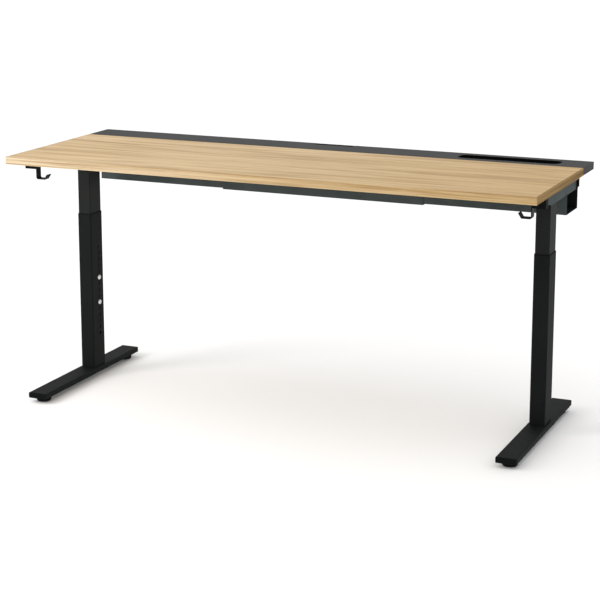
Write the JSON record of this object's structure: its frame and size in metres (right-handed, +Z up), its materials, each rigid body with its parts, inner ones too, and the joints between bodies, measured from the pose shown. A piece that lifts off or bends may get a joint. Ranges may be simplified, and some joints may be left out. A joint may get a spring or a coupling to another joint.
{
  "type": "height adjustable standing desk",
  "caption": "Desk on T-legs with telescopic columns set by locking bolts, an oak-veneered top, a hinged metal rear lid over a telescopic cable tray, bag hooks and levelling feet.",
  "frame": {"origin": "on the floor, under the middle of the tabletop, at the middle height setting", "axes": "+X along the desk to the user's right, +Y towards the back with the rear lid, +Z up"},
  "size_m": [1.6, 0.6, 0.75],
  "materials": {
    "oak_top": "matt clear-lacquered light oak veneer with a fine straight grain along the desk",
    "oak_edge": "matt light oak edge band, grain along the edge",
    "lid_metal": "fine matt dark grey powder coat",
    "slot_black": "matt black moulded plastic",
    "bare_steel": "zinc-plated steel",
    "bolt_steel": "bright zinc-plated steel",
    "leg_black": "fine matt black powder coat",
    "frame_grey": "fine matt anthracite powder coat, slightly blue",
    "black_plastic": "matt black moulded plastic",
    "hook_black": "satin black powder coat",
    "glide_plastic": "natural white acetal",
    "pad_rubber": "matt black rubber"
  },
  "bodies": {
    "left_base": {"left_foot_beam": "leg_black", "left_foot_end_caps": "black_plastic", "left_leveller_nuts": "bare_steel", "left_column_plate": "bare_steel", "left_foot_screws": "bare_steel", "left_outer_tube": "leg_black", "left_mouth_collar": "black_plastic", "left_lock_bolts": "bolt_steel"},
    "right_base": {"right_foot_beam": "leg_black", "right_foot_end_caps": "black_plastic", "right_leveller_nuts": "bare_steel", "right_column_plate": "bare_steel", "right_foot_screws": "bare_steel", "right_outer_tube": "leg_black", "right_mouth_collar": "black_plastic", "right_lock_bolts": "bolt_steel"},
    "top": {"front_edge_band": "oak_edge", "hinge_bracket_screws": "bare_steel", "hook_screws": "bare_steel", "left_arm_end_cap": "black_plastic", "left_edge_band": "oak_edge", "left_glide_shoe": "glide_plastic", "left_hinge_bracket": "frame_grey", "left_hook": "hook_black", "left_hook_mount": "black_plastic", "left_inner_tube": "leg_black", "left_lock_inserts": "bare_steel", "left_support_arm": "frame_grey", "lid_bumpers": "pad_rubber", "lid_hinge_pins": "bare_steel", "lid_rests": "frame_grey", "right_arm_end_cap": "black_plastic", "right_edge_band": "oak_edge", "right_glide_shoe": "glide_plastic", "right_hinge_bracket": "frame_grey", "right_hook": "hook_black", "right_hook_mount": "black_plastic", "right_inner_tube": "leg_black", "right_lock_inserts": "bare_steel", "right_support_arm": "frame_grey", "sleeve_glide_strips": "black_plastic", "sleeve_screws": "bare_steel", "tabletop_board": "oak_top", "tabletop_screws": "bare_steel", "tray_left_section": "frame_grey", "tray_right_section": "frame_grey", "tray_screws": "bare_steel", "tray_sleeve": "frame_grey"},
    "lid": {"rear_lid": "lid_metal", "lid_hinge_ears": "frame_grey", "slot_trim": "slot_black", "notch_trim": "slot_black"},
    "left_front_leveller": {"left_front_leveller": "pad_rubber"},
    "left_rear_leveller": {"left_rear_leveller": "pad_rubber"},
    "right_front_leveller": {"right_front_leveller": "pad_rubber"},
    "right_rear_leveller": {"right_rear_leveller": "pad_rubber"}
  },
  "joints": [
    {"name": "height_left", "type": "slide", "parent": "left_base", "child": "top", "axis": [0, 0, 1], "range_m": [-0.1, 0.1]},
    {"name": "height_right", "type": "slide", "parent": "top", "child": "right_base", "axis": [0, 0, -1], "range_m": [-0.1, 0.1]},
    {"name": "lid_hinge", "type": "hinge", "parent": "top", "child": "lid", "pos_m": [0, 0.288, 0.738], "axis": [-1, 0, 0], "range_deg": [0, 95]},
    {"name": "left_front_level", "type": "slide", "parent": "left_base", "child": "left_front_leveller", "axis": [0, 0, -1], "range_m": [0, 0.01]},
    {"name": "left_rear_level", "type": "slide", "parent": "left_base", "child": "left_rear_leveller", "axis": [0, 0, -1], "range_m": [0, 0.01]},
    {"name": "right_front_level", "type": "slide", "parent": "right_base", "child": "right_front_leveller", "axis": [0, 0, -1], "range_m": [0, 0.01]},
    {"name": "right_rear_level", "type": "slide", "parent": "right_base", "child": "right_rear_leveller", "axis": [0, 0, -1], "range_m": [0, 0.01]}
  ],
  "couplings": [
    {"joint": "height_right", "follows": "height_left", "ratio": 1}
  ]
}
